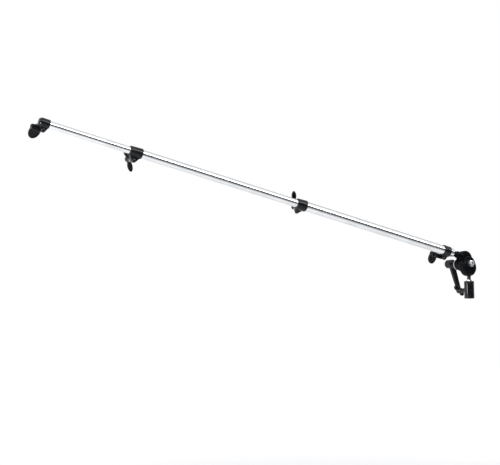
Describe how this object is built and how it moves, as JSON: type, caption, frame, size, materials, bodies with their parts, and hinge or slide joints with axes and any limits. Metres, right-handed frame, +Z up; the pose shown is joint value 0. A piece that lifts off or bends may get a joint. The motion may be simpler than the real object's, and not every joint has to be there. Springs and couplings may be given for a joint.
{
  "type": "reflector holder arm",
  "caption": "Telescopic reflector holder arm: three round tubes, pinch collars with wing knobs, a rim clamp at each end, and a tilting head with lever on a stand socket.",
  "frame": {"origin": "centre of the stand socket's lower face, on its bore axis", "axes": "+Z up along the socket bore; the arm runs towards -X and rises 11.8 degrees; +Y towards the back, where the wing knobs and the lever are"},
  "size_m": [1.2882, 0.1077, 0.4021],
  "materials": {
    "black_paint": "satin black paint on cast metal",
    "black_plastic": "matt black moulded plastic",
    "bright_tube": "bright drawn aluminium",
    "zinc_steel": "bright zinc plate",
    "insert_brass": "plain brass",
    "grey_fibre": "grey fibre",
    "guide_white": "off-white low-friction plastic"
  },
  "bodies": {
    "stand_side": {"stand_socket": "black_paint", "head_stud": "zinc_steel", "stud_nut": "zinc_steel", "head_base": "black_paint", "tilt_axle": "zinc_steel", "tilt_nut": "zinc_steel"},
    "socket_lock": {"socket_screw": "zinc_steel", "socket_knob": "black_plastic", "socket_knob_insert": "insert_brass"},
    "lock_lever_body": {"lock_lever": "black_plastic", "lock_lever_insert": "zinc_steel"},
    "tilting_half": {"friction_disc": "grey_fibre", "head_yoke": "black_paint", "lever_washer": "zinc_steel", "outer_tube": "bright_tube", "outer_lock_collar": "black_plastic", "outer_lock_bolt": "zinc_steel", "outer_lock_washer": "zinc_steel"},
    "outer_lock_wings": {"outer_lock_knob": "black_plastic", "outer_lock_knob_insert": "insert_brass"},
    "middle_section": {"middle_tube": "bright_tube", "middle_guide": "guide_white", "inner_lock_collar": "black_plastic", "inner_lock_bolt": "zinc_steel", "inner_lock_washer": "zinc_steel"},
    "inner_lock_wings": {"inner_lock_knob": "black_plastic", "inner_lock_knob_insert": "insert_brass"},
    "inner_section": {"inner_tube": "bright_tube", "inner_guide": "guide_white", "end_cap": "black_plastic"},
    "root_clamp": {"root_collar": "black_plastic", "root_bolt": "zinc_steel", "root_rim_seat": "black_plastic"},
    "root_jaw": {"root_rim_jaw": "black_plastic", "root_washer": "zinc_steel"},
    "root_wings": {"root_knob": "black_plastic", "root_knob_insert": "insert_brass"},
    "end_clamp": {"end_collar": "black_plastic", "end_bolt": "zinc_steel", "end_rim_seat": "black_plastic"},
    "end_jaw": {"end_rim_jaw": "black_plastic", "end_washer": "zinc_steel"},
    "end_wings": {"end_knob": "black_plastic", "end_knob_insert": "insert_brass"}
  },
  "joints": [
    {"name": "head_tilt", "type": "hinge", "parent": "stand_side", "child": "tilting_half", "pos_m": [-0.003, 0.0185, 0.098], "axis": [0, 1, 0], "range_deg": [-55, 75]},
    {"name": "lever_turn", "type": "hinge", "parent": "stand_side", "child": "lock_lever_body", "pos_m": [-0.003, 0.0431, 0.098], "axis": [0, 1, 0], "range_deg": [-90, 20]},
    {"name": "socket_knob_turn", "type": "hinge", "parent": "stand_side", "child": "socket_lock", "pos_m": [0, 0.0143, 0.024], "axis": [0, 1, 0], "range_deg": [0, 180]},
    {"name": "middle_slide", "type": "slide", "parent": "tilting_half", "child": "middle_section", "axis": [-0.9789, 0, 0.2045], "range_m": [-0.41, 0]},
    {"name": "inner_slide", "type": "slide", "parent": "middle_section", "child": "inner_section", "axis": [-0.9789, 0, 0.2045], "range_m": [-0.165, 0.23]},
    {"name": "outer_lock_knob_turn", "type": "hinge", "parent": "tilting_half", "child": "outer_lock_wings", "pos_m": [-0.54922, 0.04095, 0.22672], "axis": [0.1611, 0.6157, 0.7714], "range_deg": [0, 180]},
    {"name": "inner_lock_knob_turn", "type": "hinge", "parent": "middle_section", "child": "inner_lock_wings", "pos_m": [-1.0144, 0.03109, 0.31305], "axis": [0.046, 0.9744, 0.2202], "range_deg": [0, 180]},
    {"name": "root_clamp_slide", "type": "slide", "parent": "tilting_half", "child": "root_clamp", "axis": [-0.9789, 0, 0.2045], "range_m": [-0.005, 0.4]},
    {"name": "root_jaw_slide", "type": "slide", "parent": "root_clamp", "child": "root_jaw", "axis": [0.0598, 0.9563, 0.2862], "range_m": [-0.006, 0.004]},
    {"name": "root_knob_turn", "type": "hinge", "parent": "root_jaw", "child": "root_wings", "pos_m": [-0.06961, 0.04787, 0.12148], "axis": [0.0598, 0.9563, 0.2862], "range_deg": [0, 180]},
    {"name": "end_clamp_turn", "type": "hinge", "parent": "inner_section", "child": "end_clamp", "pos_m": [-1.23397, 0.0185, 0.37692], "axis": [-0.9789, 0, 0.2045], "range_deg": [-90, 90]},
    {"name": "end_jaw_slide", "type": "slide", "parent": "end_clamp", "child": "end_jaw", "axis": [0.0632, 0.9511, 0.3025], "range_m": [-0.006, 0.004]},
    {"name": "end_knob_turn", "type": "hinge", "parent": "end_jaw", "child": "end_wings", "pos_m": [-1.23553, 0.04684, 0.36947], "axis": [0.0632, 0.9511, 0.3025], "range_deg": [0, 180]}
  ]
}
